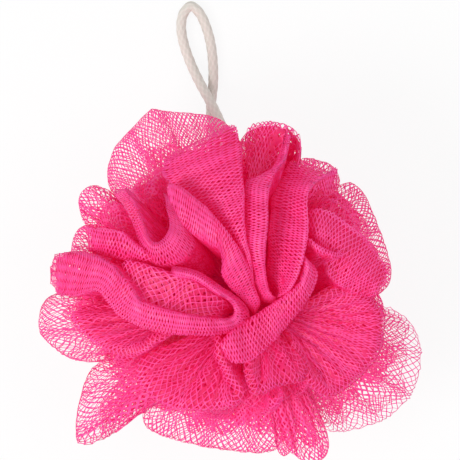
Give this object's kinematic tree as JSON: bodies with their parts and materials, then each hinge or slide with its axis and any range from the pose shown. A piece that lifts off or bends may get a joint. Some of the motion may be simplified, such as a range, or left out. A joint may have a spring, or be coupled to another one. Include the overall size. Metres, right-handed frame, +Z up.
{
  "type": "mesh bath pouf",
  "caption": "Gathered ball of soft mesh netting ruffles, tied at its waist by a braided cord with a hanging loop.",
  "frame": {"origin": "on the surface the pouf lies on, under the middle of the netting's box, without the hanging cord", "axes": "+Z up, away from the surface, +Y towards the hanging loop, +X to the right when the loop points away from the viewer"},
  "size_m": [0.1462, 0.1737, 0.0977],
  "materials": {
    "netting": "soft knitted plastic net, slightly glossy strands",
    "cord": "braided off-white cord"
  },
  "bodies": {
    "root": {"netting": "netting", "waist_wrap": "cord", "cord_knot": "cord", "hanging_cord": "cord"}
  },
  "joints": []
}
